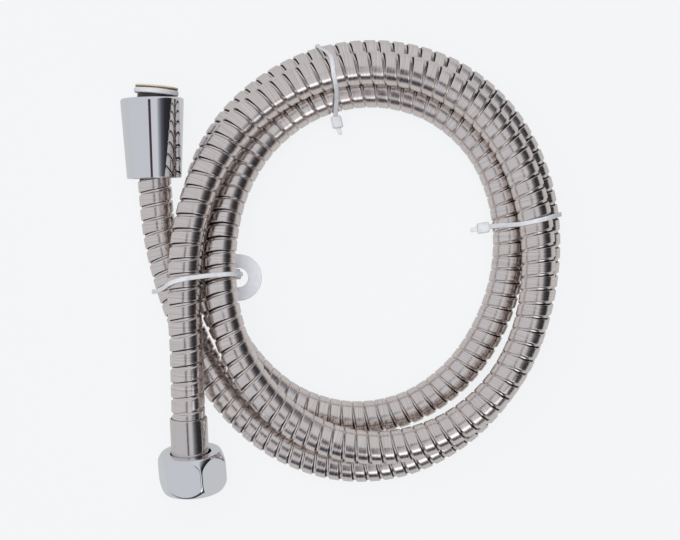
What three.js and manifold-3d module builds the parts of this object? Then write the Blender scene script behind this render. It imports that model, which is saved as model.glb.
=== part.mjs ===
import * as THREE from 'three';
import { mergeVertices } from 'three/addons/utils/BufferGeometryUtils.js';
import Module from 'manifold-3d';

// A steel shower hose with a conical nut and a hexagon nut, coiled in three turns
// and held by three cable ties. Millimetres, +Z up, lying on the plane z = 0.

// Middle of the whole coil's box in the coordinates below. The finished part is moved
// by it, so that its origin lies under the middle of its box.
const boxMiddle = [0.82, 1.13];

// Clearances
const seatGap = 0.3;
const stemGap = 0.35;

// Half-inch pipe thread that both nuts screw on
const threadMajorDiameter = 20.955;
const threadMinorDiameter = 18.63;
const threadLeadIn = 1.2;

// Hose: steel armour outside, plastic water tube inside
const hoseDiameter = 13.4;
const armourWall = 1.3;
const waterTubeWall = 1.2;
const hoseSides = 12;
const waterTubeSides = 8;
const hoseSteps = 86;

// Insert, washer and crimp sleeve at the conical nut
const coneFlangeDiameter = threadMinorDiameter - 0.8;
const coneFlangeThickness = 2.1;
const coneWasherDiameter = threadMinorDiameter - 1.4;
const coneWasherThickness = 0.9;
const coneSleeveWall = 0.5;
const coneSleeveLength = 9.5;

// Conical nut
const coneMouthDiameter = 25.4;
const coneTailDiameter = 22;
const coneLength = 32.2;
const coneThreadDepth = 10;
const coneLipDiameter = 16.9;
const coneLipThickness = 2.4;
const coneSkirtWall = 1.9;
const coneMouthRound = 1.1;
const coneTailRound = 0.5;

// Insert, washer and crimp sleeve at the hexagon nut
const hexFlangeDiameter = threadMinorDiameter - 1.7;
const hexFlangeThickness = 2.4;
const hexWasherDiameter = threadMinorDiameter - 2;
const hexWasherThickness = 2;
const hexSleeveWall = 0.5;
const hexSleeveLength = 17.6;

// Hexagon nut
const hexAcrossFlats = 24.6;
const hexLength = 16;
const hexEndDiameter = 24.6;
const hexRoundLength = 5.4;
const hexLipDiameter = 16.3;
const hexLipThickness = 2.2;
const hexTurn = -20;

// Both inserts
const insertBoreDiameter = 4;
const stemLength = 15;
const stemWall = 0.4;
const barbHeight = 0.35;
const barbCount = 3;
const washerBoreDiameter = 10;

// Cable ties and the loose washer
const strapWidth = 1.8;
const strapThickness = 1;
const headWidth = 4.3;
const headLength = 4.8;
const headHeight = 3.6;
const tailLength = 2.8;
const tailThickness = 1.1;
const looseWasherDiameter = 19.2;
const looseWasherBore = 9;
const looseWasherThickness = 1.2;
const looseWasherLift = 1.6;

// Ends of each tie's loop outside and inside the coil, and how far from the middle
// between them a turn of hose may lie to be tied
const topTieOutside = [-5.7, 86];
const topTieInside = [-0.4, 57];
const rightTieOutside = [88, 22];
const rightTieInside = [55, 17.5];
const leftTieOutside = [-72, -4.8];
const leftTieInside = [-40.6, -1.5];
const tieReach = 24;

// The left tie turns down a small corner that carries the loose washer
const leftCornerAlong = 13.5;
const leftCornerHeight = 3.1;
const leftCornerRadius = 1.8;
const looseWasherCentre = [-41.7, -3.1];

// Where the hose passes the mouth of the conical nut, the middle of the hexagon nut's
// rear face, and the way both mouths look
const coneMouthOnHose = [-74.25, 69.17, 12.75];
const coneMouthDirection = [-0.026, 0.9983, 0.052];
const hexRearCentre = [-59.85, -72.65, 15.8];
const hexMouthDirection = [0.058, -0.975, -0.2145];

// Centreline of the hose, from the conical nut to the hexagon nut
const hoseRoute = [
  [-74.1, 70.4, 12.8], [-75.0, 60.4, 12.4], [-75.5, 50.2, 11.9], [-75.0, 36.8, 10.7],
  [-72.7, 12.3, 8.4], [-66.3, -11.7, 8.0], [-56.6, -34.7, 8.0],
  // First turn, on the table
  [-42.6, -55.3, 8.0], [-23.4, -70.8, 8.0], [-0.2, -78.7, 8.0], [24.3, -77.2, 8.0],
  [46.4, -66.5, 8.0], [63.9, -49.0, 8.0], [75.7, -27.3, 8.0], [81.7, -3.2, 8.0],
  [82.1, 21.6, 8.0], [75.6, 45.5, 8.0], [62.1, 66.0, 8.0], [42.3, 80.3, 8.0],
  [18.3, 86.4, 8.0], [-6.5, 84.0, 8.0], [-28.7, 73.3, 8.0], [-46.3, 56.2, 8.0],
  [-56.6, 33.8, 8.2], [-57.3, 9.3, 8.8], [-50.4, -14.7, 8.8], [-38.3, -36.6, 8.2],
  // Second turn, inside the first, climbing at its end
  [-19.6, -53.0, 8.0], [3.8, -59.9, 8.0], [27.4, -56.0, 8.0], [47.7, -42.0, 8.0],
  [61.7, -20.8, 8.0], [68.4, 3.4, 8.0], [66.8, 28.3, 8.0], [56.6, 50.7, 8.0],
  [37.9, 66.6, 8.0], [14.3, 72.7, 8.0], [-9.5, 68.3, 8.0], [-29.2, 54.9, 8.0],
  [-42.1, 35.4, 11.5], [-47.6, 12.0, 18.5], [-46.8, -12.7, 21.9], [-39.2, -36.3, 22.1],
  // Third turn, on top of the other two
  [-24.3, -55.8, 21.4], [-3.2, -67.9, 20.9], [21.0, -70.3, 21.0], [44.5, -62.6, 21.3],
  [63.1, -46.7, 21.7], [74.6, -25.0, 21.7], [78.8, -0.4, 21.5], [76.7, 24.5, 21.1],
  [68.2, 47.7, 20.8], [52.4, 66.5, 20.5], [30.9, 77.9, 20.4], [6.4, 80.2, 20.7],
  [-17.4, 73.7, 21.5], [-37.7, 59.5, 22.7], [-51.9, 39.6, 23.8], [-59.4, 16.2, 24.8],
  [-61.5, -8.6, 24.0], [-60.8, -33.3, 21.9],
  // Tail to the hexagon nut
  [-60.6, -58.8, 17.1], [-60.3, -67.6, 15.93], [-60.0, -76.4, 14.76],
];

// Derived sizes
const hoseRadius = hoseDiameter / 2;
const waterTubeRadius = (hoseRadius - armourWall) * Math.cos(Math.PI / hoseSides) - seatGap;
const stemRadius = (waterTubeRadius - waterTubeWall) * Math.cos(Math.PI / waterTubeSides) - stemGap;
const sleeveBore = hoseRadius + seatGap;
const tieHeadMiddle = strapThickness + seatGap + hoseRadius;

// The conical nut hangs to one side, its thread just off the crimp sleeve
const coneNutPlay = threadMinorDiameter / 2 - sleeveBore - coneSleeveWall - seatGap;

const wasm = await Module();
wasm.setup();

function toSolid(geometry) {
  const bare = geometry.index ? geometry.toNonIndexed() : geometry.clone();
  bare.deleteAttribute('normal');
  bare.deleteAttribute('uv');
  const merged = mergeVertices(bare, 1e-4);
  const solid = new wasm.Manifold(new wasm.Mesh({
    numProp: 3,
    vertProperties: new Float32Array(merged.attributes.position.array),
    triVerts: new Uint32Array(merged.index.array),
  }));
  return solid;
}

function toGeometry(solid) {
  const mesh = solid.getMesh();
  const geometry = new THREE.BufferGeometry();
  geometry.setAttribute('position', new THREE.BufferAttribute(mesh.vertProperties, 3));
  geometry.setIndex(new THREE.BufferAttribute(mesh.triVerts, 1));
  geometry.computeVertexNormals();
  return geometry;
}

// A turned piece: a closed profile of [radius, height] pairs, outer wall upwards,
// turned about +Z
function turned(profile, segments) {
  const points = profile.map(([radius, height]) => new THREE.Vector2(radius, height));
  const last = points[points.length - 1];
  if (points[0].x > 0 || last.x > 0) points.push(points[0].clone());
  const geometry = new THREE.LatheGeometry(points, segments);
  geometry.rotateX(Math.PI / 2);
  return geometry;
}

// Quarter round from one [radius, height] to the next, bulging outwards
function rounded(start, end, bulgeAtStart, steps = 4) {
  const points = [];
  for (let step = 0; step <= steps; step += 1) {
    const angle = (step / steps) * Math.PI / 2;
    const rise = bulgeAtStart ? Math.sin(angle) : 1 - Math.cos(angle);
    const run = bulgeAtStart ? 1 - Math.cos(angle) : Math.sin(angle);
    points.push([
      start[0] + (end[0] - start[0]) * run,
      start[1] + (end[1] - start[1]) * rise,
    ]);
  }
  return points;
}

function finish(color, roughness, metalness) {
  return new THREE.MeshStandardMaterial({ color, roughness, metalness });
}

const chrome = () => finish(0xc9ccd2, 0.08, 1);
const brushedSteel = () => finish(0xb4aaa6, 0.3, 1);
const satinSteel = () => finish(0xb9b2ae, 0.22, 1);
const whitePlastic = () => finish(0xe4e4e8, 0.4, 0);
const tanFibre = () => finish(0xb08a5c, 0.8, 0);
const greyRubber = () => finish(0x3a3a3c, 0.7, 0);

const part = new THREE.Group();
part.position.set(-boxMiddle[0], -boxMiddle[1], 0);

function addMesh(name, geometry, material, parent = part) {
  const mesh = new THREE.Mesh(geometry, material);
  mesh.name = name;
  parent.add(mesh);
  return mesh;
}

// A group whose +Z looks along a direction, with its +Y leaning upwards
function placedAlong(origin, direction) {
  const along = direction.clone().normalize();
  const side = new THREE.Vector3(0, 0, 1).cross(along).normalize();
  const up = along.clone().cross(side);
  const group = new THREE.Group();
  group.quaternion.setFromRotationMatrix(new THREE.Matrix4().makeBasis(side, up, along));
  group.position.copy(origin);
  part.add(group);
  return group;
}

// Hose

const hosePath = new THREE.CatmullRomCurve3(
  hoseRoute.map((point) => new THREE.Vector3(...point)), false, 'centripetal');
hosePath.arcLengthDivisions = 3000;

function ringShape(outerRadius, innerRadius, sides) {
  const corner = (radius, index) => {
    const angle = (index / sides) * Math.PI * 2;
    return new THREE.Vector2(radius * Math.cos(angle), radius * Math.sin(angle));
  };
  const indices = [...Array(sides).keys()];
  const shape = new THREE.Shape(indices.map((index) => corner(outerRadius, index)));
  shape.holes.push(new THREE.Path(indices.map((index) => corner(innerRadius, index))));
  return shape;
}

function tubeAlongHose(outerRadius, innerRadius, sides) {
  return new THREE.ExtrudeGeometry(ringShape(outerRadius, innerRadius, sides), {
    steps: hoseSteps,
    extrudePath: hosePath,
    bevelEnabled: false,
  });
}

addMesh('steel_hose', tubeAlongHose(hoseRadius, hoseRadius - armourWall, hoseSides), brushedSteel());
addMesh('inner_tube', tubeAlongHose(waterTubeRadius, waterTubeRadius - waterTubeWall, waterTubeSides),
  whitePlastic());

// Inserts, washers and crimp sleeves. Each end's local +Z looks out of its nut, and
// its origin is the middle of the hose's cut end.

function insert(flangeDiameter, flangeThickness) {
  const flangeRadius = flangeDiameter / 2;
  const base = seatGap;
  const top = base + flangeThickness;
  const edge = Math.min(0.8, flangeThickness / 3);
  const root = stemRadius - barbHeight;
  const profile = [];
  // Barbs on the stem, each a slope that widens away from the stem's tip
  const pitch = (stemLength - base) / (barbCount + 1);
  profile.push([root, -stemLength]);
  for (let barb = 0; barb < barbCount; barb += 1) {
    const start = -stemLength + barb * pitch;
    profile.push([stemRadius, start + pitch * 0.9]);
    profile.push([root, start + pitch * 0.95]);
  }
  profile.push([root, base]);
  profile.push([flangeRadius - edge, base]);
  profile.push([flangeRadius, base + edge]);
  profile.push([flangeRadius, top - edge]);
  profile.push([flangeRadius - edge, top]);
  profile.push([insertBoreDiameter / 2 + 0.5, top]);
  profile.push([insertBoreDiameter / 2, top - 0.5]);
  profile.push([root - stemWall, -stemLength]);
  return turned(profile, 24);
}

function washer(diameter, bore, thickness, seat, segments = 36) {
  return turned([
    [diameter / 2, seat],
    [diameter / 2, seat + thickness],
    [bore / 2, seat + thickness],
    [bore / 2, seat],
  ], segments);
}

function crimpSleeve(wall, length) {
  const outer = sleeveBore + wall;
  return turned([
    [outer, -length + 0.4],
    [outer, 0],
    [sleeveBore, 0],
    [sleeveBore, -length],
    [outer - 0.4, -length],
  ], 32);
}

function hoseEnd(end, next) {
  const origin = new THREE.Vector3(...end);
  const direction = origin.clone().sub(new THREE.Vector3(...next));
  return placedAlong(origin, direction);
}

const coneEnd = hoseEnd(hoseRoute[0], hoseRoute[1]);
addMesh('cone_insert', insert(coneFlangeDiameter, coneFlangeThickness), whitePlastic(), coneEnd);
addMesh('cone_washer', washer(coneWasherDiameter, washerBoreDiameter, coneWasherThickness,
  seatGap + coneFlangeThickness + seatGap), tanFibre(), coneEnd);
addMesh('cone_ferrule', crimpSleeve(coneSleeveWall, coneSleeveLength), satinSteel(), coneEnd);

const hexEnd = hoseEnd(hoseRoute[hoseRoute.length - 1], hoseRoute[hoseRoute.length - 2]);
addMesh('hex_insert', insert(hexFlangeDiameter, hexFlangeThickness), whitePlastic(), hexEnd);
addMesh('hex_washer', washer(hexWasherDiameter, washerBoreDiameter, hexWasherThickness,
  seatGap + hexFlangeThickness + seatGap), greyRubber(), hexEnd);
addMesh('hex_ferrule', crimpSleeve(hexSleeveWall, hexSleeveLength), satinSteel(), hexEnd);

// Conical nut, local +Z out of its mouth, origin in the middle of the mouth

function conicalNut() {
  const mouth = coneMouthDiameter / 2;
  const tail = coneTailDiameter / 2;
  const thread = threadMinorDiameter / 2;
  const leadIn = threadMajorDiameter / 2 + 0.1;
  const lip = coneLipDiameter / 2;
  const lipTop = -coneThreadDepth;
  const lipBase = lipTop - coneLipThickness;
  const skirt = tail - coneSkirtWall;
  return turned([
    ...rounded([tail - coneTailRound, -coneLength], [tail, -coneLength + coneTailRound], false, 3),
    ...rounded([mouth, -coneMouthRound], [mouth - coneMouthRound, 0], true, 4),
    [leadIn, 0],
    [thread, -threadLeadIn],
    [thread, lipTop],
    [lip, lipTop],
    [lip, lipBase],
    [skirt, lipBase],
    [skirt, -coneLength],
  ], 44);
}

const coneMouthCentre = new THREE.Vector3(...coneMouthOnHose);
coneMouthCentre.x -= coneNutPlay;
const coneGroup = placedAlong(coneMouthCentre, new THREE.Vector3(...coneMouthDirection));
addMesh('cone_nut', conicalNut(), chrome(), coneGroup);

// Hexagon nut, local +Z out of its mouth, origin in the middle of its rear face.
// Its corners are turned to a barrel at both ends.

function hexagonNut() {
  const cornerRadius = hexAcrossFlats / Math.sqrt(3);
  const corners = [...Array(6).keys()].map((index) => {
    const angle = Math.PI / 2 + THREE.MathUtils.degToRad(hexTurn) + index * Math.PI / 3;
    return new THREE.Vector2(cornerRadius * Math.cos(angle), cornerRadius * Math.sin(angle));
  });
  const prism = new THREE.ExtrudeGeometry(new THREE.Shape(corners), {
    depth: hexLength,
    bevelEnabled: false,
  });

  const endRadius = hexEndDiameter / 2;
  const middleRadius = cornerRadius + 0.02;
  const barrelSteps = 6;
  const barrel = [[0, 0]];
  for (let step = 0; step <= barrelSteps; step += 1) {
    const share = step / barrelSteps;
    const drop = (1 - share) ** 2;
    barrel.push([middleRadius - (middleRadius - endRadius) * drop, hexRoundLength * share]);
  }
  for (let step = barrelSteps; step >= 0; step -= 1) {
    const share = step / barrelSteps;
    const drop = (1 - share) ** 2;
    barrel.push([middleRadius - (middleRadius - endRadius) * drop, hexLength - hexRoundLength * share]);
  }
  barrel.push([0, hexLength]);

  const lip = hexLipDiameter / 2;
  const thread = threadMinorDiameter / 2;
  const leadIn = threadMajorDiameter / 2 + 0.1;
  const past = 1;
  const bore = [
    [0, -past],
    [lip + 0.4 + past, -past],
    [lip, 0.4],
    [lip, hexLipThickness],
    [thread, hexLipThickness],
    [thread, hexLength - threadLeadIn],
    [leadIn, hexLength],
    [leadIn, hexLength + past],
    [0, hexLength + past],
  ];
  return toGeometry(toSolid(prism)
    .intersect(toSolid(turned(barrel, 54)))
    .subtract(toSolid(turned(bore, 36))));
}

const hexGroup = placedAlong(new THREE.Vector3(...hexRearCentre),
  new THREE.Vector3(...hexMouthDirection));
addMesh('hex_nut', hexagonNut(), chrome(), hexGroup);

// Cable ties. Each loop stands in an upright plane across the coil and is the tightest
// outline round the turns that pass through that plane.

const stations = hosePath.getSpacedPoints(hoseSteps);

function turnsThrough(origin, heading, reach) {
  const normal = new THREE.Vector2(-heading.y, heading.x);
  const distance = (point) => (point.x - origin.x) * normal.x + (point.y - origin.y) * normal.y;
  const circles = [];
  for (let index = 0; index < stations.length - 1; index += 1) {
    const from = stations[index];
    const to = stations[index + 1];
    const before = distance(from);
    const after = distance(to);
    if (before * after > 0 || before === after) continue;
    const point = from.clone().lerp(to, before / (before - after));
    const along = (point.x - origin.x) * heading.x + (point.y - origin.y) * heading.y;
    if (along < -reach || along > reach) continue;
    const step = to.clone().sub(from).normalize();
    const across = Math.abs(step.x * normal.x + step.y * normal.y);
    const slant = Math.sqrt(1 - across * across) / across;
    circles.push({ along, height: point.z, wide: hoseRadius / across + slant * strapWidth / 2 });
  }
  return circles;
}

function hull(points) {
  const sorted = [...points].sort((a, b) => a.x - b.x || a.y - b.y);
  const turn = (a, b, c) => (b.x - a.x) * (c.y - a.y) - (b.y - a.y) * (c.x - a.x);
  const half = (list) => {
    const chain = [];
    for (const point of list) {
      while (chain.length > 1 && turn(chain[chain.length - 2], chain[chain.length - 1], point) <= 1e-9) {
        chain.pop();
      }
      chain.push(point);
    }
    chain.pop();
    return chain;
  };
  return [...half(sorted), ...half(sorted.reverse())];
}

function outlineRound(circles, offset) {
  const samples = 24;
  const points = [];
  for (const circle of circles) {
    for (let index = 0; index < samples; index += 1) {
      const angle = (index / samples) * Math.PI * 2;
      points.push(new THREE.Vector2(
        circle.along + (circle.wide + offset) * Math.cos(angle),
        Math.max(circle.height + ((circle.tall ?? hoseRadius) + offset) * Math.sin(angle),
          strapThickness + seatGap - offset),
      ));
    }
  }
  return hull(points);
}

// Turns an outline drawn upright, x along the heading and y upwards, into a solid of
// the given width that stands across the coil
function upright(shape, width, origin, heading) {
  const geometry = new THREE.ExtrudeGeometry(shape, { depth: width, bevelEnabled: false });
  geometry.translate(0, 0, -width / 2);
  const along = new THREE.Vector3(heading.x, heading.y, 0);
  const up = new THREE.Vector3(0, 0, 1);
  const across = along.clone().cross(up);
  geometry.applyMatrix4(new THREE.Matrix4().makeBasis(along, up, across));
  geometry.translate(origin.x, origin.y, 0);
  return geometry;
}

function roundedBox(left, right, bottom, top, radius) {
  const shape = new THREE.Shape();
  shape.moveTo(left + radius, bottom);
  shape.lineTo(right - radius, bottom);
  shape.quadraticCurveTo(right, bottom, right, bottom + radius);
  shape.lineTo(right, top - radius);
  shape.quadraticCurveTo(right, top, right - radius, top);
  shape.lineTo(left + radius, top);
  shape.quadraticCurveTo(left, top, left, top - radius);
  shape.lineTo(left, bottom + radius);
  shape.quadraticCurveTo(left, bottom, left + radius, bottom);
  return shape;
}

function cableTie({ outside, inside, corner, headInside }) {
  const origin = new THREE.Vector2((outside[0] + inside[0]) / 2, (outside[1] + inside[1]) / 2);
  const heading = new THREE.Vector2(inside[0] - outside[0], inside[1] - outside[1]).normalize();
  const circles = turnsThrough(origin, heading, tieReach);
  if (corner) circles.push(corner);
  const inner = outlineRound(circles, seatGap);
  const outer = outlineRound(circles, seatGap + strapThickness);
  const loop = new THREE.Shape(outer);
  loop.holes.push(new THREE.Path(inner));

  // The head sits against the loop's end, and the cut tail sticks out of it
  const end = Math.max(...outer.map((point) => point.x));
  const side = headInside ? -1 : 1;
  const start = end - strapThickness / 2 - (headInside ? strapThickness / 2 : 0);
  const stop = start + side * headLength;
  const head = roundedBox(Math.min(start, stop), Math.max(start, stop),
    tieHeadMiddle - headHeight / 2, tieHeadMiddle + headHeight / 2, 0.8);
  const tailEnd = stop + side * tailLength;
  const tail = roundedBox(Math.min(start, tailEnd), Math.max(start, tailEnd),
    tieHeadMiddle - tailThickness / 2, tieHeadMiddle + tailThickness / 2, 0.3);
  let solid = toSolid(upright(loop, strapWidth, origin, heading))
    .add(toSolid(upright(head, headWidth, origin, heading)));
  if (!headInside) solid = solid.add(toSolid(upright(tail, strapWidth, origin, heading)));
  return toGeometry(solid);
}

addMesh('top_tie', cableTie({ outside: topTieOutside, inside: topTieInside }), whitePlastic());
addMesh('right_tie', cableTie({ outside: rightTieOutside, inside: rightTieInside }), whitePlastic());
addMesh('left_tie', cableTie({
  outside: leftTieOutside,
  inside: leftTieInside,
  corner: {
    along: leftCornerAlong,
    height: leftCornerHeight,
    wide: leftCornerRadius,
    tall: leftCornerRadius,
  },
  headInside: true,
}), whitePlastic());

// Loose washer, threaded on the left tie: it leans on the strap and on the table

const looseWasherLean = Math.asin(looseWasherLift / looseWasherDiameter);
const looseWasher = addMesh('spare_washer',
  washer(looseWasherDiameter, looseWasherBore, looseWasherThickness, 0, 40), whitePlastic());
looseWasher.rotation.y = looseWasherLean;
looseWasher.position.set(looseWasherCentre[0], looseWasherCentre[1],
  Math.sin(looseWasherLean) * looseWasherDiameter / 2 + 0.02);

export default part;
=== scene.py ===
import math

import bpy
import numpy as np
from mathutils import Matrix, Vector


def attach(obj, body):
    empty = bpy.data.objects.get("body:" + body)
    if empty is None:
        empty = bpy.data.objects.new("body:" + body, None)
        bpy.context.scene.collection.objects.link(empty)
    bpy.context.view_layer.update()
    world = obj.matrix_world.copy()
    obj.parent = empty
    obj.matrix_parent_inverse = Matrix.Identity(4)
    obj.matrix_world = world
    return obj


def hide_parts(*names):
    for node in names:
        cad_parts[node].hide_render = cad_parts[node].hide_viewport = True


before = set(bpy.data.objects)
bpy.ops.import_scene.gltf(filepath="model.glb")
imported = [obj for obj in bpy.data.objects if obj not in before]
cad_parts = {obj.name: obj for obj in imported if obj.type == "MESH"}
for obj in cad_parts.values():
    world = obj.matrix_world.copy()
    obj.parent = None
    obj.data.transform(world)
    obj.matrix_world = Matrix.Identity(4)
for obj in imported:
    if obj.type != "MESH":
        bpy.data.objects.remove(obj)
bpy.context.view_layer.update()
scene = bpy.context.scene

MM = 0.001

# Middle of the coil's box, as in the CAD: the coordinates below are in millimetres
# from the point under the camera, and the frame's origin lies under that middle
BOX_MIDDLE = np.array([0.82, 1.13, 0.0])

# Hose
HOSE_DIAMETER = 13.4
HOSE_ROUTE = [
    (-74.1, 70.4, 12.8), (-75.0, 60.4, 12.4), (-75.5, 50.2, 11.9), (-75.0, 36.8, 10.7),
    (-72.7, 12.3, 8.4), (-66.3, -11.7, 8.0), (-56.6, -34.7, 8.0),
    # First turn, on the table
    (-42.6, -55.3, 8.0), (-23.4, -70.8, 8.0), (-0.2, -78.7, 8.0), (24.3, -77.2, 8.0),
    (46.4, -66.5, 8.0), (63.9, -49.0, 8.0), (75.7, -27.3, 8.0), (81.7, -3.2, 8.0),
    (82.1, 21.6, 8.0), (75.6, 45.5, 8.0), (62.1, 66.0, 8.0), (42.3, 80.3, 8.0),
    (18.3, 86.4, 8.0), (-6.5, 84.0, 8.0), (-28.7, 73.3, 8.0), (-46.3, 56.2, 8.0),
    (-56.6, 33.8, 8.2), (-57.3, 9.3, 8.8), (-50.4, -14.7, 8.8), (-38.3, -36.6, 8.2),
    # Second turn, inside the first, climbing at its end
    (-19.6, -53.0, 8.0), (3.8, -59.9, 8.0), (27.4, -56.0, 8.0), (47.7, -42.0, 8.0),
    (61.7, -20.8, 8.0), (68.4, 3.4, 8.0), (66.8, 28.3, 8.0), (56.6, 50.7, 8.0),
    (37.9, 66.6, 8.0), (14.3, 72.7, 8.0), (-9.5, 68.3, 8.0), (-29.2, 54.9, 8.0),
    (-42.1, 35.4, 11.5), (-47.6, 12.0, 18.5), (-46.8, -12.7, 21.9), (-39.2, -36.3, 22.1),
    # Third turn, on top of the other two
    (-24.3, -55.8, 21.4), (-3.2, -67.9, 20.9), (21.0, -70.3, 21.0), (44.5, -62.6, 21.3),
    (63.1, -46.7, 21.7), (74.6, -25.0, 21.7), (78.8, -0.4, 21.5), (76.7, 24.5, 21.1),
    (68.2, 47.7, 20.8), (52.4, 66.5, 20.5), (30.9, 77.9, 20.4), (6.4, 80.2, 20.7),
    (-17.4, 73.7, 21.5), (-37.7, 59.5, 22.7), (-51.9, 39.6, 23.8), (-59.4, 16.2, 24.8),
    (-61.5, -8.6, 24.0), (-60.8, -33.3, 21.9),
    # Tail to the hexagon nut
    (-60.6, -58.8, 17.1), (-60.3, -67.6, 15.93), (-60.0, -76.4, 14.76),
]

# Armour strip: pitch of its winding at places along the hose, in shares of its length,
# closer at the bottom of the coil and wider at the sides and on the tail to the hexagon nut
COIL_PITCH = [
    (0.0, 5.7), (0.07, 5.4), (0.14, 5.0), (0.21, 5.5), (0.28, 5.4), (0.37, 5.5), (0.42, 4.95),
    (0.49, 5.4), (0.57, 5.35), (0.63, 5.5), (0.70, 4.95), (0.77, 5.55), (0.85, 5.4), (0.92, 5.55),
    (0.95, 5.8), (0.97, 6.25), (1.0, 6.25),
]
SUNK_RADIUS = 5.95
ARMOUR_SEGMENTS = 30

# Spacing of the points along the hose that the armour follows
LINE_STEP = 1.2

# Places of the nuts and the way their mouths look
CONE_MOUTH_CENTRE = (-75.765, 69.17, 12.75)
CONE_MOUTH_DIRECTION = (-0.026, 0.9983, 0.052)
HEX_REAR_CENTRE = (-59.85, -72.65, 15.8)
HEX_MOUTH_DIRECTION = (0.058, -0.975, -0.2145)

SEAT_GAP = 0.3

# Internal thread of both nuts, with a plain lead-in at the mouth
THREAD_MAJOR_RADIUS = 20.955 / 2
THREAD_MINOR_RADIUS = 18.63 / 2
THREAD_PITCH = 1.814
LEAD_IN_RADIUS = THREAD_MAJOR_RADIUS + 0.1
LEAD_IN_LENGTH = 1.2
LEAD_IN_EDGE = 0.1

# Inserts, sealing washers and the crimp sleeve at the hexagon nut
CONE_FLANGE_RADIUS = THREAD_MINOR_RADIUS - 0.4
CONE_FLANGE_THICKNESS = 2.1
CONE_WASHER_RADIUS = THREAD_MINOR_RADIUS - 0.7
CONE_WASHER_THICKNESS = 0.9
HEX_FLANGE_RADIUS = THREAD_MINOR_RADIUS - 0.85
HEX_FLANGE_THICKNESS = 2.4
HEX_WASHER_RADIUS = THREAD_MINOR_RADIUS - 1
HEX_WASHER_THICKNESS = 2.0
WASHER_BORE_RADIUS = 5.0
SLEEVE_WALL = 0.5
SLEEVE_LENGTH = 17.6

# Cable ties
STRAP_WIDTH = 1.8
STRAP_THICKNESS = 1.0
STRAP_ROUND = 0.3
STRAP_POINTS = 180
TIE_REACH = 24
HEAD_LENGTH = 4.8
HEAD_TALL = 3.6
HEAD_WIDE = 4.3
HEAD_ROUND = 0.7
TAIL_IN_HEAD = 0.8
TAIL_LENGTH = 2.8
TAIL_TALL = 1.1
TAIL_ROUND = 0.3

# Straight stretches in which the ties' planes look for the hose, as in the CAD
HOSE_STEPS = 86

# Loose sealing ring: one side lies on the table and the other leans on the left tie
RING_RADIUS = 9.6
RING_BORE_RADIUS = 4.0
RING_THICKNESS = 1.2
RING_ROUND = 0.4
RING_RISE = 1.6
RING_TABLE_GAP = 0.02
RING_X = -41.7
RING_Y = -3.1

# Pieces turned on an axis, and the steps of a round on a flat ring's edge
TURNED_SEGMENTS = 96
RING_ROUND_STEPS = 4


# Camera, straight above the coil

IMAGE_WIDTH = 680
FOCAL_PIXELS = 1500
CAMERA_HEIGHT = 617.0
SENSOR_WIDTH = 36

camera_data = bpy.data.cameras.new("camera")
camera_data.sensor_fit = "HORIZONTAL"
camera_data.sensor_width = SENSOR_WIDTH
camera_data.lens = SENSOR_WIDTH * FOCAL_PIXELS / IMAGE_WIDTH
camera_data.clip_start = 0.01
camera = bpy.data.objects.new("camera", camera_data)
camera.location = (Vector((0, 0, CAMERA_HEIGHT)) - Vector(BOX_MIDDLE)) * MM
scene.collection.objects.link(camera)
scene.camera = camera
scene.view_settings.view_transform = "Standard"


# Shapes

UV_NAME = "UVMap"


def to_frame(points):
    """Millimetres from the point under the camera to metres in the frame."""
    return (np.asarray(points, float) - BOX_MIDDLE) * MM


def smooth_line(points, per_span):
    """Centripetal Catmull-Rom curve through the points, as in the CAD."""
    points = np.asarray(points, float)
    before = 2 * points[0] - points[1]
    after = 2 * points[-1] - points[-2]
    padded = np.vstack([before, points, after])
    share = np.linspace(0, 1, per_span, endpoint=False)[:, None]
    pieces = []
    for a, b, c, d in zip(padded, padded[1:], padded[2:], padded[3:]):
        ab, bc, cd = (math.sqrt(np.linalg.norm(q - p)) for p, q in ((a, b), (b, c), (c, d)))
        leave = ((b - a) / ab - (c - a) / (ab + bc) + (c - b) / bc) * bc
        arrive = ((c - b) / bc - (d - b) / (bc + cd) + (d - c) / cd) * bc
        square = 3 * (c - b) - 2 * leave - arrive
        cube = 2 * (b - c) + leave + arrive
        pieces.append(b + leave * share + square * share**2 + cube * share**3)
    pieces.append(points[-1:])
    return np.vstack(pieces)


def lengths_along(line):
    steps = np.linalg.norm(np.diff(line, axis=0), axis=1)
    return np.concatenate([[0], np.cumsum(steps)])


def resampled(line, count):
    along = lengths_along(line)
    wanted = np.linspace(0, along[-1], count)
    return np.stack([np.interp(wanted, along, line[:, axis]) for axis in range(3)], axis=1)


def placed_along(origin, direction):
    """Local +Z looks along the direction and local +Y leans upwards."""
    along = Vector(direction).normalized()
    side = Vector((0, 0, 1)).cross(along).normalized()
    up = along.cross(side)
    turn = Matrix((side, up, along)).transposed().to_4x4()
    return Matrix.Translation(Vector(origin)) @ turn


def turn_points(points, matrix):
    rotation = np.array(matrix.to_3x3())
    return np.asarray(points, float) @ rotation.T + np.array(matrix.translation)


def grid_faces(rows, columns, close_rows=False, close_columns=False):
    faces = []
    for row in range(rows if close_rows else rows - 1):
        for column in range(columns if close_columns else columns - 1):
            next_row = (row + 1) % rows
            next_column = (column + 1) % columns
            faces.append((
                row * columns + column,
                row * columns + next_column,
                next_row * columns + next_column,
                next_row * columns + column,
            ))
    return faces


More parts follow.
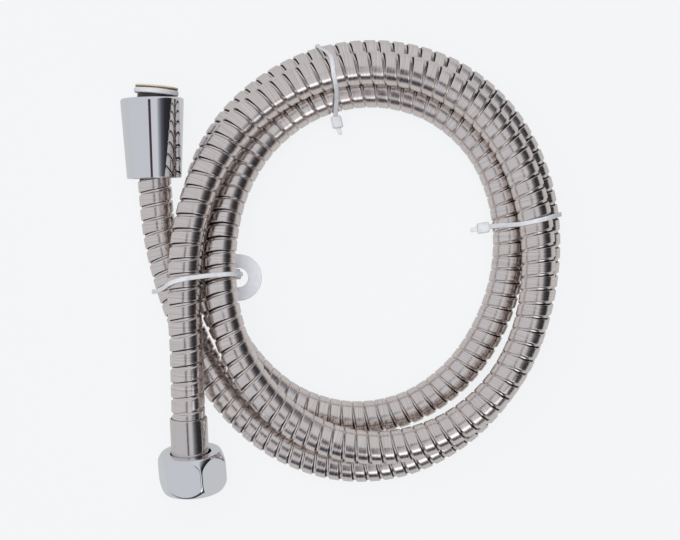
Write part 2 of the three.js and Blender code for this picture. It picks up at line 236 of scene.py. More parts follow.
def add_piece(name, points, faces, material, body, smooth_angle=40, uvs=None):
    """A mesh from points in millimetres; uvs holds one pair for each point."""
    mesh = bpy.data.meshes.new(name)
    mesh.from_pydata(to_frame(points).tolist(), [], faces)
    mesh.update()
    if uvs is not None:
        layer = mesh.uv_layers.new(name=UV_NAME)
        corners = np.empty(len(mesh.loops), dtype=np.int64)
        mesh.loops.foreach_get("vertex_index", corners)
        layer.data.foreach_set("uv", np.asarray(uvs, float)[corners].ravel())
    mesh.shade_smooth()
    mesh.set_sharp_from_angle(angle=math.radians(smooth_angle))
    mesh.materials.append(material)
    piece = bpy.data.objects.new(name, mesh)
    scene.collection.objects.link(piece)
    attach(piece, body)
    return piece


def arc(centre, radius, start, stop, steps):
    """Points [r, z] on a round in a turned piece's profile, angles in degrees."""
    angles = np.radians(np.linspace(start, stop, steps + 1))
    return [(centre[0] + radius * math.cos(a), centre[1] + radius * math.sin(a)) for a in angles]


def turned(profile, segments=TURNED_SEGMENTS):
    """Points and faces of a closed [r, z] profile turned about local +Z."""
    profile = np.asarray(profile, float)
    angles = np.linspace(0, 2 * math.pi, segments, endpoint=False)
    radius = profile[:, 0][:, None]
    points = np.stack([
        radius * np.cos(angles),
        radius * np.sin(angles),
        np.repeat(profile[:, 1][:, None], segments, axis=1),
    ], axis=2).reshape(-1, 3)
    faces = grid_faces(len(profile), segments, close_rows=True, close_columns=True)
    return points, [tuple(reversed(face)) for face in faces]


# Materials

# Range that most of a noise's values lie in, and the height of the fine relief in metres
NOISE_LOW = 0.3
NOISE_HIGH = 0.7
BUMP_HEIGHT = 0.00005


def new_material(name, colour, roughness, metallic=0.0):
    material = bpy.data.materials.new(name)
    material.use_nodes = True
    shader = material.node_tree.nodes["Principled BSDF"]
    shader.inputs["Base Color"].default_value = (*colour, 1)
    shader.inputs["Roughness"].default_value = roughness
    shader.inputs["Metallic"].default_value = metallic
    return material, material.node_tree.nodes, material.node_tree.links, shader


def noise_field(nodes, links, source, stretch, scale, detail=3.0):
    """A noise over the object or a UV map, stretched by a factor on each axis."""
    mapping = nodes.new("ShaderNodeMapping")
    mapping.inputs["Scale"].default_value = stretch
    noise = nodes.new("ShaderNodeTexNoise")
    noise.inputs["Scale"].default_value = scale
    noise.inputs["Detail"].default_value = detail
    links.new(source, mapping.inputs["Vector"])
    links.new(mapping.outputs["Vector"], noise.inputs["Vector"])
    return noise.outputs["Fac"]


def spread(nodes, links, field, low, high):
    """Maps a noise's middle range to the range from low to high."""
    ranged = nodes.new("ShaderNodeMapRange")
    ranged.inputs["From Min"].default_value = NOISE_LOW
    ranged.inputs["From Max"].default_value = NOISE_HIGH
    ranged.inputs["To Min"].default_value = low
    ranged.inputs["To Max"].default_value = high
    links.new(field, ranged.inputs["Value"])
    return ranged.outputs["Result"]


def tint(nodes, links, field, dark, light):
    """Colours a noise's middle range from dark to light."""
    ramp = nodes.new("ShaderNodeValToRGB")
    ramp.color_ramp.elements[0].position = NOISE_LOW
    ramp.color_ramp.elements[0].color = (*dark, 1)
    ramp.color_ramp.elements[1].position = NOISE_HIGH
    ramp.color_ramp.elements[1].color = (*light, 1)
    links.new(field, ramp.inputs["Fac"])
    return ramp.outputs["Color"]


def add_bump(nodes, links, field, shader, strength):
    bump = nodes.new("ShaderNodeBump")
    bump.inputs["Strength"].default_value = strength
    bump.inputs["Distance"].default_value = BUMP_HEIGHT
    links.new(field, bump.inputs["Height"])
    links.new(bump.outputs["Normal"], shader.inputs["Normal"])


def brushed_metal(name, dark, light, rough, stretch, bump_strength, one_way):
    """Steel brushed along the second axis of the UV map, which blurs its reflections
    more across the lines than along them."""
    material, nodes, links, shader = new_material(name, light, rough[0], 1.0)
    uv = nodes.new("ShaderNodeUVMap")
    uv.uv_map = UV_NAME
    lines = noise_field(nodes, links, uv.outputs["UV"], stretch, 1.0, 5.0)
    links.new(tint(nodes, links, lines, dark, light), shader.inputs["Base Color"])
    links.new(spread(nodes, links, lines, *rough), shader.inputs["Roughness"])
    shader.inputs["Anisotropic"].default_value = one_way
    shader.inputs["Anisotropic Rotation"].default_value = 0.25
    tangent = nodes.new("ShaderNodeTangent")
    tangent.direction_type = "UV_MAP"
    tangent.uv_map = UV_NAME
    links.new(tangent.outputs["Tangent"], shader.inputs["Tangent"])
    add_bump(nodes, links, lines, shader, bump_strength)
    return material


def polished_metal(name, colour, roughness):
    """Bare or plated metal with a faint haze."""
    material, nodes, links, shader = new_material(name, colour, roughness, 1.0)
    place = nodes.new("ShaderNodeTexCoord")
    haze = noise_field(nodes, links, place.outputs["Object"], (1, 1, 1), 260.0)
    links.new(spread(nodes, links, haze, roughness * 0.6, roughness * 1.5), shader.inputs["Roughness"])
    return material


def moulded_plastic(name, dark, light, roughness, grain=420.0):
    """Plastic, fibre or rubber with a faint cloudiness and a fine moulded skin."""
    material, nodes, links, shader = new_material(name, light, roughness)
    place = nodes.new("ShaderNodeTexCoord")
    clouds = noise_field(nodes, links, place.outputs["Object"], (1, 1, 1), grain)
    links.new(tint(nodes, links, clouds, dark, light), shader.inputs["Base Color"])
    links.new(spread(nodes, links, clouds, roughness * 0.8, roughness * 1.2), shader.inputs["Roughness"])
    add_bump(nodes, links, clouds, shader, 0.15)
    return material


ARMOUR_STEEL = brushed_metal("armour_steel", (0.68, 0.62, 0.592), (0.96, 0.90, 0.865),
                             (0.13, 0.25), (4.0, 0.5, 1.0), 0.2, 0.5)
# Nearly black steel for the faces under each free edge of the armour: painted shade for the deep seam,
# where the lit sunk band would otherwise show
SEAM_PAINTED_SHADE = polished_metal("seam_painted_shade", (0.09, 0.072, 0.065), 0.4)
SLEEVE_STEEL = brushed_metal("sleeve_steel", (0.72, 0.685, 0.665), (0.78, 0.745, 0.725),
                             (0.12, 0.18), (7.0, 0.8, 1.0), 0.08, 0.4)
CHROME = polished_metal("chrome", (0.86, 0.87, 0.90), 0.05)
WHITE_PLASTIC = moulded_plastic("white_plastic", (0.70, 0.70, 0.72), (0.77, 0.77, 0.79), 0.4)
TIE_PLASTIC = moulded_plastic("tie_plastic", (0.70, 0.71, 0.73), (0.79, 0.80, 0.81), 0.3)
MILKY_PLASTIC = moulded_plastic("milky_plastic", (0.89, 0.90, 0.95), (0.93, 0.94, 1.0), 0.3)
# Nearly black steel for the cone's hose sleeve: painted shade in the narrow gap under the flange
FERRULE_PAINTED_SHADE = polished_metal("ferrule_painted_shade", (0.10, 0.085, 0.08), 0.35)
# Dark brown for the cone seal's lower, outer round: painted shade in the groove between the seal and the
# flange
SEAL_EDGE_PAINTED_SHADE = moulded_plastic("seal_edge_painted_shade", (0.10, 0.055, 0.025), (0.22, 0.13, 0.07), 0.8, 1500.0)
TAN_FIBRE = moulded_plastic("tan_fibre", (0.62, 0.50, 0.36), (0.80, 0.70, 0.56), 0.75, 1500.0)
GREY_RUBBER = moulded_plastic("grey_rubber", (0.035, 0.035, 0.037), (0.055, 0.055, 0.058), 0.65)


# Hose

hose_line = smooth_line(HOSE_ROUTE, 40)
hose_length = lengths_along(hose_line)[-1]
hose_centres = resampled(hose_line, int(hose_length / LINE_STEP) + 1)
hose_stations = np.linspace(0, hose_length, len(hose_centres))


def sides_along(centres):
    """A side and an up at each point of the line, which turn with it without twist."""
    along = np.gradient(centres, axis=0)
    along /= np.linalg.norm(along, axis=1)[:, None]
    side = np.empty_like(along)
    side[0] = np.cross((0, 0, 1), along[0])
    side[0] /= np.linalg.norm(side[0])
    for index in range(1, len(along)):
        carried = side[index - 1] - along[index] * np.dot(side[index - 1], along[index])
        side[index] = carried / np.linalg.norm(carried)
    return side, np.cross(along, side)


def at_stations(stations, values):
    """Vectors given at the hose's stations, worked out at other stations."""
    return np.stack([np.interp(stations, hose_stations, values[:, axis]) for axis in range(3)], 1)


def armour():
    """One strip wound along the hose: a raised band, a step down and a sunk band."""
    side, up = sides_along(hose_centres)

    # Turns of the winding up to each station
    pitch = np.interp(hose_stations / hose_length, *np.transpose(COIL_PITCH))
    turns = np.concatenate([[0], np.cumsum(np.diff(hose_stations) / pitch[:-1])])

    # The strip's profile along the hose: distance from the middle of its raised band in
    # shares of the pitch, and radius. It climbs in a soft step and ends in a free, rolled
    # edge, under which the next turn of the strip slides.
    top = HOSE_DIAMETER / 2
    band = [
        (-0.530, SUNK_RADIUS),
        (-0.435, SUNK_RADIUS + 0.05),
        (-0.385, SUNK_RADIUS + 0.38),
        (-0.350, top - 0.10),
        (-0.315, top - 0.02),
        (-0.275, top),
        (0.350, top),
        (0.390, top - 0.05),
        (0.412, top - 0.20),
    ]
    # The faces under the free edge get the painted seam shade
    seam = [
        (0.415, SUNK_RADIUS + 0.10),
        (0.405, SUNK_RADIUS - 0.40),
        (0.440, SUNK_RADIUS - 0.04),
    ]
    profile = band + seam

    # The strip's middle, in steps round the hose. It starts a turn before the hose and ends
    # after it, and what lies past an end of the hose is dropped.
    step = np.arange(-ARMOUR_SEGMENTS, int(turns[-1] + 2) * ARMOUR_SEGMENTS)
    angle = 2 * math.pi * step / ARMOUR_SEGMENTS
    beyond = 1000.0
    middle = np.interp(step / ARMOUR_SEGMENTS, turns, hose_stations, -beyond, hose_length + beyond)
    local_pitch = np.interp(middle, hose_stations, pitch)
    look = at_stations(middle, side)
    rise = at_stations(middle, up)
    outward = look * np.cos(angle)[:, None] + rise * np.sin(angle)[:, None]

    rows, uvs, kept = [], [], []
    for offset, radius in profile:
        station = np.clip(middle + offset * local_pitch, 0, hose_length)
        rows.append(at_stations(station, hose_centres) + outward * radius)
        uvs.append(np.stack([station, step / ARMOUR_SEGMENTS], 1))
        kept.append((station > 0) & (station < hose_length))
    count = len(profile)
    columns = len(step)
    points = np.stack(rows, 1).reshape(-1, 3)
    uv_points = np.stack(uvs, 1).reshape(-1, 2)
    on_hose = np.stack(kept, 1).ravel()

    # The last row of each turn joins the first row of the next turn
    faces, in_painted_shade = [], []
    for column in range(columns - 1):
        for row in range(count):
            low = column * count + row
            high = low + 1
            if row == count - 1:
                if column + 1 + ARMOUR_SEGMENTS >= columns:
                    continue
                high = (column + ARMOUR_SEGMENTS) * count
            face = (low, low + count, high + count, high)
            if any(on_hose[corner] for corner in face):
                faces.append(face)
                in_painted_shade.append(row >= len(band))
    used = np.unique(np.array(faces))
    renumber = np.full(len(points), -1)
    renumber[used] = np.arange(len(used))
    faces = [tuple(int(renumber[corner]) for corner in face) for face in faces]
    return points[used], faces, uv_points[used], in_painted_shade


points, faces, uvs, in_painted_shade = armour()
steel_hose = add_piece("steel_armour", points, faces, ARMOUR_STEEL, "hose", 60, uvs)
# Painted shade: the seam faces under each free edge take the nearly black steel
steel_hose.data.materials.append(SEAM_PAINTED_SHADE)
steel_hose.data.polygons.foreach_set("material_index", np.array(in_painted_shade, dtype=np.int32))
flat_bands = steel_hose.modifiers.new("flat_bands", "WEIGHTED_NORMAL")
flat_bands.mode = "FACE_AREA"
flat_bands.keep_sharp = True
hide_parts("steel_hose")


# Conical nut, turned

def thread(length):
    """Profile of an internal thread from z = 0 inwards, flat crests at the minor radius."""
    points = []
    for turn in range(int(length / THREAD_PITCH)):
        start = -turn * THREAD_PITCH
        points += [
            (THREAD_MINOR_RADIUS, start),
            (THREAD_MINOR_RADIUS, start - 0.15 * THREAD_PITCH),
            (THREAD_MAJOR_RADIUS, start - 0.52 * THREAD_PITCH),
            (THREAD_MAJOR_RADIUS, start - 0.62 * THREAD_PITCH),
        ]
    return points


def conical_nut():
    """A shell with its mouth at z = 0: outside, thread, inner lip and skirt."""
    mouth, tail, length = 12.7, 11.0, 32.2
    mouth_round, tail_round = 1.1, 0.5
    lip_radius, lip_top, lip_thickness, lip_edge = 8.45, -10.0, 2.4, 0.2
    skirt = tail - 1.9
    thread_length = 8.6
    slope = math.degrees(math.atan2(mouth - tail, length))
    profile = arc((tail - tail_round, -length + tail_round), tail_round, -90, -slope, 6)
    profile += arc((mouth - mouth_round, -mouth_round), mouth_round, -slope, 90, 10)
    profile += [(LEAD_IN_RADIUS + LEAD_IN_EDGE, 0), (LEAD_IN_RADIUS, -LEAD_IN_EDGE)]
    profile += [(radius, height - LEAD_IN_LENGTH) for radius, height in thread(thread_length)]
    profile += [
        (THREAD_MINOR_RADIUS, lip_top),
        (lip_radius + lip_edge, lip_top),
        (lip_radius, lip_top - lip_edge),
        (lip_radius, lip_top - lip_thickness),
        (skirt, lip_top - lip_thickness),
        (skirt, -length),
    ]
    return turned(profile, 128)


cone_place = placed_along(CONE_MOUTH_CENTRE, CONE_MOUTH_DIRECTION)
points, faces = conical_nut()
cone_nut = add_piece("conical_nut", turn_points(points, cone_place), faces, CHROME, "cone_nut_body", 35)
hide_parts("cone_nut")


# Hexagon nut: a hexagon and a barrel, blended along the edges where they meet

def hexagon_nut():
    """Its rear lies at z = 0. Each row of points is a ring round the axis."""
    across_flats, length, end_radius, round_length = 24.6, 16.0, 11.9, 7.6
    lip_radius, lip_thickness, lip_edge = 8.15, 2.2, 0.4
    corner_radius = across_flats / math.sqrt(3)
    middle_radius = corner_radius + 0.6
    thread_length = 12.2
    turn = -20.0

    # How softly the flats meet each other and the barrel
    corner_softness = 0.0012
    barrel_softness = 0.22

    # How far the end faces' rims are broken
    rim_height = 0.3
    rim_depth = 0.25

    # Angles lie closer together near the corners
    share = np.linspace(-1, 1, 49)[:-1]
    offsets = 30 * np.sign(share) * np.abs(share) ** 1.6
    first_corner = 90 + turn
    degrees = np.concatenate([first_corner + 60 * corner + offsets for corner in range(6)])
    angles = np.radians(degrees)

    def ring(radius, height):
        return np.stack([
            radius * np.cos(angles), radius * np.sin(angles), np.full_like(angles, height),
        ], 1)

    # Radius of the hexagon at each angle
    flats = np.stack([
        np.cos(angles - math.radians(first_corner + 30 + 60 * side)) / (across_flats / 2)
        for side in range(6)
    ])
    nearest = flats.max(0)
    overlap = np.log(np.sum(np.exp((flats - nearest) / corner_softness), 0)) * corner_softness
    hexagon = 1 / (nearest + overlap)

    # Radius of the barrel at each height
    heights = np.concatenate([
        [0.0], np.linspace(0.12, round_length, 26), np.linspace(round_length, length / 2, 6)[1:],
    ])
    heights = np.concatenate([heights, (length - heights)[::-1][1:]])
    from_end = np.minimum(heights, length - heights)
    to_middle = np.clip(from_end / round_length, 0, 1)
    past_rim = np.clip(from_end / rim_height, 0, 1)
    barrel = end_radius + (middle_radius - end_radius) * (1 - (1 - to_middle) ** 2)
    barrel = barrel - rim_depth * (1 - past_rim) ** 2

    outside = -barrel_softness * np.log(
        np.exp(-hexagon[None, :] / barrel_softness) + np.exp(-barrel[:, None] / barrel_softness)
    )
    bore = [(LEAD_IN_RADIUS + LEAD_IN_EDGE, length), (LEAD_IN_RADIUS, length - LEAD_IN_EDGE)]
    bore += [(radius, height + length - LEAD_IN_LENGTH) for radius, height in thread(thread_length)]
    bore += [
        (THREAD_MINOR_RADIUS, lip_thickness),
        (lip_radius, lip_thickness),
        (lip_radius, lip_edge),
        (lip_radius + lip_edge, 0.0),
    ]
    rows = [ring(radius, height) for radius, height in zip(outside, heights)]
    rows += [ring(radius, height) for radius, height in bore]
    faces = grid_faces(len(rows), len(angles), close_rows=True, close_columns=True)
    return np.vstack(rows), [tuple(reversed(face)) for face in faces]


hex_place = placed_along(HEX_REAR_CENTRE, HEX_MOUTH_DIRECTION)
points, faces = hexagon_nut()
hex_nut = add_piece("hexagon_nut", turn_points(points, hex_place), faces, CHROME, "hex_nut_body", 50)
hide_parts("hex_nut")


# Inserts, washers and the crimp sleeve at the hose's ends

def end_place(end, neighbour):
    return placed_along(end, np.subtract(end, neighbour))


def flanged_insert(flange_radius, thickness):
    """A flange on a stem with three barbs, which stands in the hose's water tube."""
    stem_length, stem, bore, edge, bore_edge = 15.0, 2.2, 2.0, 0.55, 0.5
    barb_height, barb_spacing, barb_top, barb_back = 0.35, 3.8, 3.4, 3.6
    base = SEAT_GAP
    top = base + thickness
    profile = [(stem, -stem_length)]
    for barb in range(3):
        start = -stem_length + barb_spacing * barb
        profile += [(stem + barb_height, start + barb_top), (stem, start + barb_back)]
    profile += [(stem, base), (flange_radius - edge, base)]
    profile += arc((flange_radius - edge, base + edge), edge, -90, 0, 5)
    profile += arc((flange_radius - edge, top - edge), edge, 0, 90, 5)
    profile += [(bore + bore_edge, top), (bore, top - bore_edge), (bore, -stem_length)]
    return turned(profile)


def flat_ring(radius, bore, seat, thickness, edge):
    """A washer with rounded edges, from z = seat upwards. Its first round is the lower,
    outer one."""
    top = seat + thickness
    profile = arc((radius - edge, seat + edge), edge, -90, 0, RING_ROUND_STEPS)
    profile += arc((radius - edge, top - edge), edge, 0, 90, RING_ROUND_STEPS)
    profile += arc((bore + edge, top - edge), edge, 90, 180, RING_ROUND_STEPS)
    profile += arc((bore + edge, seat + edge), edge, 180, 270, RING_ROUND_STEPS)
    return turned(profile)


def crimp_sleeve(wall, length):
    """A pressed sleeve with a rounded edge, and a UV map for its brushing."""
    edge = 0.35
    bore = HOSE_DIAMETER / 2 + SEAT_GAP
    outer = bore + wall
    profile = arc((outer - edge, -length + edge), edge, -90, 0, 5)
    profile += [(outer, share * -length) for share in (0.9, 0.6, 0.3, 0)]
    profile += [(bore, 0), (bore, -length)]
    points, faces = turned(profile)
    radius = np.hypot(points[:, 0], points[:, 1])
    turn_share = np.arctan2(points[:, 1], points[:, 0]) / (2 * math.pi)
    return points, faces, np.stack([points[:, 2] + radius, np.abs(turn_share)], 1)


cone_end = end_place(HOSE_ROUTE[0], HOSE_ROUTE[1])
hex_end = end_place(HOSE_ROUTE[-1], HOSE_ROUTE[-2])

points, faces = flanged_insert(CONE_FLANGE_RADIUS, CONE_FLANGE_THICKNESS)
cone_insert = add_piece("cone_flange", turn_points(points, cone_end), faces, WHITE_PLASTIC, "hose")
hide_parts("cone_insert")

cone_washer_seat = SEAT_GAP + CONE_FLANGE_THICKNESS + SEAT_GAP
points, faces = flat_ring(
    CONE_WASHER_RADIUS, WASHER_BORE_RADIUS, cone_washer_seat, CONE_WASHER_THICKNESS, 0.3,
)
cone_washer = add_piece("cone_seal", turn_points(points, cone_end), faces, TAN_FIBRE, "hose")
# Painted shade: the seal's lower, outer round is dark brown, as the groove under it lies in shade
cone_washer.data.materials.append(SEAL_EDGE_PAINTED_SHADE)
for polygon in cone_washer.data.polygons[:RING_ROUND_STEPS * TURNED_SEGMENTS]:
    polygon.material_index = 1
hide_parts("cone_washer")

points, faces = flanged_insert(HEX_FLANGE_RADIUS, HEX_FLANGE_THICKNESS)
hex_insert = add_piece("hex_flange", turn_points(points, hex_end), faces, WHITE_PLASTIC, "hose")
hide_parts("hex_insert")

hex_washer_seat = SEAT_GAP + HEX_FLANGE_THICKNESS + SEAT_GAP
points, faces = flat_ring(
    HEX_WASHER_RADIUS, WASHER_BORE_RADIUS, hex_washer_seat, HEX_WASHER_THICKNESS, 0.35,
)
hex_washer = add_piece("hex_seal", turn_points(points, hex_end), faces, GREY_RUBBER, "hose")
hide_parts("hex_washer")

points, faces, uvs = crimp_sleeve(SLEEVE_WALL, SLEEVE_LENGTH)
hex_sleeve = add_piece("hex_sleeve", turn_points(points, hex_end), faces, SLEEVE_STEEL, "hose", uvs=uvs)
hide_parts("hex_ferrule")

# Hidden pieces keep their solids. The cone's hose sleeve is painted nearly black as the shade where it
# shows in the gap under the flange.
for node, material in (("inner_tube", WHITE_PLASTIC), ("cone_ferrule", FERRULE_PAINTED_SHADE)):
    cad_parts[node].data.materials.clear()
    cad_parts[node].data.materials.append(material)


# Cable ties: a flat strap round the turns it holds, a head, and the cut tail that sticks
# out of the head

def hull(points):
    """The convex outline of flat points."""
    ordered = sorted(map(tuple, points))

    def half(items):
        chain = []
        for point in items:
            while len(chain) > 1:
                (ax, ay), (bx, by) = chain[-2], chain[-1]
                if (bx - ax) * (point[1] - ay) - (by - ay) * (point[0] - ax) > 1e-9:
                    break
                chain.pop()
            chain.append(point)
        return chain[:-1]

    return np.array(half(ordered) + half(ordered[::-1]))


def turns_through(origin, heading, reach):
    """[along, height, half width] of each turn that the tie's plane cuts."""
    stations = resampled(hose_line, HOSE_STEPS + 1)
    normal = np.array([-heading[1], heading[0]])
    found = []
    for start, stop in zip(stations, stations[1:]):
        before = np.dot(start[:2] - origin, normal)
        after = np.dot(stop[:2] - origin, normal)
        if before * after > 0:
            continue
        point = start + (stop - start) * before / (before - after)
        along = np.dot(point[:2] - origin, heading)
        if abs(along) > reach:
            continue
        step = (stop - start) / np.linalg.norm(stop - start)
        across = abs(np.dot(step[:2], normal))
        slant = math.sqrt(1 - across**2) / across
        found.append((along, point[2], HOSE_DIAMETER / 2 / across + slant * STRAP_WIDTH / 2))
    return found


def outline_round(circles, offset):
    """A line round [along, height, half width, half height] at an offset, above the table."""
    angles = np.linspace(0, 2 * math.pi, 72, endpoint=False)
    floor = STRAP_THICKNESS + SEAT_GAP - offset
    points = []
    for along, height, wide, tall in circles:
        xs = along + (wide + offset) * np.cos(angles)
        ys = np.maximum(height + (tall + offset) * np.sin(angles), floor)
        points.append(np.stack([xs, ys], 1))
    return hull(np.vstack(points))


def rounded_rectangle(half_x, half_y, round_off):
    points = []
    for sign_x, sign_y, start in ((1, 1, 0), (-1, 1, 90), (-1, -1, 180), (1, -1, 270)):
        centre = (sign_x * (half_x - round_off), sign_y * (half_y - round_off))
        points += arc(centre, round_off, start, start + 90, 3)
    return points


def rounded_bar(first, last, tall, wide, round_off):
    """A bar from first to last, its section a rounded rectangle that shrinks at both ends."""
    low, high = min(first, last), max(first, last)
    slight = 0.3 * round_off
    rings = []
    for along, inset in (
        (low, round_off), (low + slight, slight), (low + round_off, 0),
        (high - round_off, 0), (high - slight, slight), (high, round_off),
    ):
        shrink = 0.6 * inset
        section = rounded_rectangle(tall / 2 - shrink, wide / 2 - shrink, round_off)
        rings.append([(along, x, y) for x, y in section])
    points = np.array(rings).reshape(-1, 3)
    count = len(rings[0])
    faces = grid_faces(len(rings), count, close_columns=True)
    faces.append(tuple(range(count))[::-1])
    faces.append(tuple(range((len(rings) - 1) * count, len(rings) * count)))
    return points, faces


def tie_piece(name, start, stop, sway, extra=(), head_height=8.0, head_inside=False):
    """The strap follows the tie's plane, and strays from it sideways by the sway: pairs
    of the distance along from the middle and the distance across. It also goes round the
    extra circles, each [along, height, radius]."""
    start, stop = np.array(start, float), np.array(stop, float)
    origin = (start + stop) / 2
    heading = (stop - start) / np.linalg.norm(stop - start)
    normal = np.array([heading[1], -heading[0]])
    held = turns_through(origin, heading, TIE_REACH)
    circles = [(along, height, wide, HOSE_DIAMETER / 2) for along, height, wide in held]
    circles += [(along, height, radius, radius) for along, height, radius in extra]

    def place(along, height, across):
        across = across + np.interp(along, *np.transpose(sway))
        flat = origin[None, :] + np.outer(along, heading) + np.outer(across, normal)
        return np.column_stack([flat, height])

    # Strap: the outline's middle, swept with a rounded flat section
    middle = outline_round(circles, SEAT_GAP + STRAP_THICKNESS / 2)
    ring = np.vstack([middle, middle[:1]])
    steps = np.concatenate([[0], np.cumsum(np.linalg.norm(np.diff(ring, axis=0), axis=1))])
    wanted = np.linspace(0, steps[-1], STRAP_POINTS + 1)[:-1]
    middle = np.stack([np.interp(wanted, steps, ring[:, axis]) for axis in range(2)], 1)
    tangent = np.roll(middle, -1, axis=0) - np.roll(middle, 1, axis=0)
    tangent /= np.linalg.norm(tangent, axis=1)[:, None]
    outward = np.stack([tangent[:, 1], -tangent[:, 0]], 1)
    section = rounded_rectangle(STRAP_WIDTH / 2, STRAP_THICKNESS / 2, STRAP_ROUND)
    rows = []
    for across, out in section:
        line = middle + outward * out
        rows.append(place(line[:, 0], line[:, 1], np.full(len(line), across)))
    points = np.stack(rows, 1).reshape(-1, 3)
    faces = grid_faces(len(middle), len(section), close_rows=True, close_columns=True)

    # Head and tail, as rounded bars along the heading. A head inside sits on the strap's
    # inner face, and its tail isn't seen.
    end = outline_round(circles, SEAT_GAP + STRAP_THICKNESS)[:, 0].max()
    if head_inside:
        base = end - STRAP_THICKNESS
        bars = [(base, base - HEAD_LENGTH, HEAD_TALL, HEAD_WIDE, HEAD_ROUND)]
    else:
        base = end - STRAP_THICKNESS / 2
        tip = base + HEAD_LENGTH
        bars = [
            (base, tip, HEAD_TALL, HEAD_WIDE, HEAD_ROUND),
            (tip - TAIL_IN_HEAD, tip + TAIL_LENGTH, TAIL_TALL, STRAP_WIDTH, TAIL_ROUND),
        ]
    for bar in bars:
        bar_points, bar_faces = rounded_bar(*bar)
        placed = place(bar_points[:, 0], bar_points[:, 1] + head_height, bar_points[:, 2])
        faces += [tuple(index + len(points) for index in face) for face in bar_faces]
        points = np.vstack([points, placed])
    piece = add_piece(name + "_strap", points, faces, TIE_PLASTIC, "hose")
    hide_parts(name)


tie_piece("top_tie", (-5.7, 86.0), (-0.4, 57.0), [
    (-20, 2.6), (-18, 1.4), (-16, -0.3), (-14, -1.4), (-12, -1.8), (-9, -1.8), (-5, -1.5),
    (-2, -1.6), (1, -1.6), (4, -1.0), (7, -0.1), (9, 0.4), (12, 0.4), (14, 0.1), (17, -0.3),
])
tie_piece("right_tie", (88.0, 22.0), (55.0, 17.5), [
    (-18, 0.4), (-15, 0.0), (-12, -0.5), (-9, -0.9), (-6, -1.2), (-3, -1.45), (0, -1.6),
    (2, -1.5), (4, -1.3), (7, -0.9), (10, -0.7), (14, -0.8), (19, -1.1),
])
tie_piece("left_tie", (-72.0, -4.8), (-40.6, -1.5), [
    (-20, 3.6), (-17, 3.4), (-15, 2.9), (-13, 2.1), (-11, 1.2), (-9, 0.6), (-7, 0.2), (-4, -0.15),
    (-1, -0.35), (3, -0.45), (8, -0.4), (13, -0.2), (17, 0.3),
], extra=[(13.5, 3.1, 1.8)], head_inside=True)


# Loose washer, leaning on the left tie's strap

ring_lean = math.asin(RING_RISE / (2 * RING_RADIUS))
points, faces = flat_ring(RING_RADIUS, RING_BORE_RADIUS, 0, RING_THICKNESS, RING_ROUND)
ring_turn = Matrix.Rotation(ring_lean, 4, "Y")
ring_turn.translation = (RING_X, RING_Y, RING_RISE / 2 + RING_TABLE_GAP)
loose_washer = add_piece("milky_ring", turn_points(points, ring_turn), faces, MILKY_PLASTIC, "hose")
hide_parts("spare_washer")


# Floor and light: a white table, a pale diffuser on the left and overhead with a narrow
# gap between its panels, a dark room on the right and in front, and a softbox between

PAPER_WHITE = (0.905, 0.913, 0.930)
PAPER_GLOW = 0.92
TABLE_BOUNCE = 0.57
FLOOR_REACH = 4.0
FLOOR_DROP = 0.0001


def seen_or_lit(nodes, links, seen, lit):
    """A strength for what the camera sees, and another for what lights the part."""
    path = nodes.new("ShaderNodeLightPath")
    strength = nodes.new("ShaderNodeMapRange")
    strength.inputs["To Min"].default_value = lit
    strength.inputs["To Max"].default_value = seen
    links.new(path.outputs["Is Camera Ray"], strength.inputs["Value"])
    return strength.outputs["Result"]


def shade_floor():
    material = bpy.data.materials.new("table_paper")
    material.use_nodes = True
    nodes, links = material.node_tree.nodes, material.node_tree.links
    nodes.clear()
    glow = nodes.new("ShaderNodeEmission")
    glow.inputs["Color"].default_value = (*PAPER_WHITE, 1)
    links.new(seen_or_lit(nodes, links, PAPER_GLOW, TABLE_BOUNCE), glow.inputs["Strength"])
    paper = nodes.new("ShaderNodeBsdfDiffuse")
    paper.inputs["Color"].default_value = (0.08, 0.08, 0.08, 1)
    both = nodes.new("ShaderNodeAddShader")
    output = nodes.new("ShaderNodeOutputMaterial")
    links.new(glow.outputs["Emission"], both.inputs[0])
    links.new(paper.outputs["BSDF"], both.inputs[1])
    links.new(both.outputs["Shader"], output.inputs["Surface"])
    return material


floor_mesh = bpy.data.meshes.new("floor")
floor_corners = [(x * FLOOR_REACH, y * FLOOR_REACH, 0) for x, y in ((-1, -1), (1, -1), (1, 1), (-1, 1))]
floor_mesh.from_pydata(floor_corners, [], [(0, 1, 2, 3)])
floor_mesh.materials.append(shade_floor())
floor = bpy.data.objects.new("floor", floor_mesh)
floor.location.z = -FLOOR_DROP
scene.collection.objects.link(floor)


def fill_ramp(ramp, stops):
    """Colour stops by direction, from -1 to 1."""
    elements = ramp.color_ramp.elements
    while len(elements) < len(stops):
        elements.new(0.5)
    for element, (place, colour) in zip(elements, stops):
        element.position = (place + 1) / 2
        element.color = (*colour, 1)


# A mix node's colour sockets
MIX_FIRST, MIX_SECOND, MIX_RESULT = 6, 7, 2


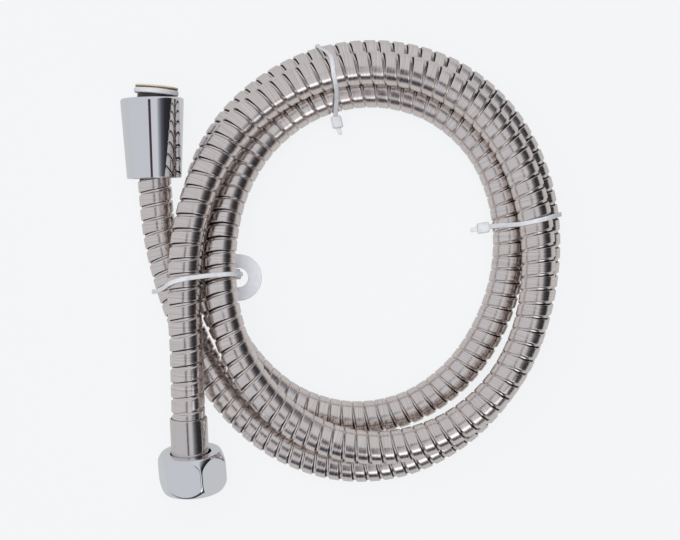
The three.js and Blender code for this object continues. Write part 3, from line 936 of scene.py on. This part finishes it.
def shade_world():
    world = bpy.data.worlds.new("studio")
    world.use_nodes = True
    scene.world = world
    nodes, links = world.node_tree.nodes, world.node_tree.links
    direction = nodes.new("ShaderNodeTexCoord")
    split = nodes.new("ShaderNodeSeparateXYZ")
    links.new(direction.outputs["Generated"], split.inputs["Vector"])

    def across(axis, stops):
        shifted = nodes.new("ShaderNodeMapRange")
        shifted.inputs["From Min"].default_value = -1
        ramp = nodes.new("ShaderNodeValToRGB")
        fill_ramp(ramp, stops)
        links.new(split.outputs[axis], shifted.inputs["Value"])
        links.new(shifted.outputs["Result"], ramp.inputs["Fac"])
        return ramp.outputs["Color"]

    def product(first, second, factor=None):
        mix = nodes.new("ShaderNodeMix")
        mix.data_type = "RGBA"
        mix.blend_type = "MULTIPLY"
        mix.inputs["Factor"].default_value = 1
        if factor is not None:
            links.new(factor, mix.inputs["Factor"])
        links.new(first, mix.inputs[MIX_FIRST])
        links.new(second, mix.inputs[MIX_SECOND])
        return mix.outputs[MIX_RESULT]

    panels = across("X", [
        (-1.0, (0.60, 0.61, 0.645)), (-0.10, (0.60, 0.61, 0.645)), (-0.05, (0.62, 0.63, 0.66)),
        (0.38, (0.64, 0.65, 0.68)), (0.50, (0.30, 0.31, 0.34)), (0.64, (0.10, 0.10, 0.12)),
        (0.80, (0.03, 0.03, 0.035)), (1.0, (0.02, 0.02, 0.02)),
    ])
    gap = across("X", [
        (-0.145, (1, 1, 1)), (-0.13, (0.12, 0.08, 0.085)),
        (0.015, (0.08, 0.05, 0.055)), (0.035, (1, 1, 1)),
    ])
    gap_reach = across("Y", [
        (-0.64, (0, 0, 0)), (-0.58, (1, 1, 1)), (0.02, (1, 1, 1)), (0.08, (0, 0, 0)),
    ])
    front = across("Y", [
        (-1.0, (0.05, 0.05, 0.07)), (-0.88, (0.08, 0.08, 0.11)),
        (-0.80, (0.5, 0.5, 0.52)), (-0.74, (1, 1, 1)),
    ])
    room = product(product(panels, gap, gap_reach), front)

    # The camera sees plain paper past the part
    path = nodes.new("ShaderNodeLightPath")
    shown = nodes.new("ShaderNodeMix")
    shown.data_type = "RGBA"
    shown.inputs[MIX_SECOND].default_value = (*PAPER_WHITE, 1)
    links.new(path.outputs["Is Camera Ray"], shown.inputs["Factor"])
    links.new(room, shown.inputs[MIX_FIRST])
    links.new(shown.outputs[MIX_RESULT], nodes["Background"].inputs["Color"])


shade_world()


def softbox(name, direction, distance, size, radiance):
    light = bpy.data.lights.new(name, "AREA")
    light.shape = "RECTANGLE"
    light.size, light.size_y = size
    light.energy = radiance * math.pi * size[0] * size[1]
    box = bpy.data.objects.new(name, light)
    box.location = Vector(direction).normalized() * distance
    box.rotation_euler = (-Vector(direction)).to_track_quat("-Z", "Y").to_euler()
    scene.collection.objects.link(box)
    return box


softbox("front_right_softbox", (0.36, -0.70, 0.61), 1.0, (0.78, 0.28), 1.15)


# Light for the plastics alone, which the metal doesn't reflect
fill = softbox("plastic_fill", (-0.1, 0.1, 1), 1.5, (1.6, 1.6), 1.8)
fill.visible_glossy = False
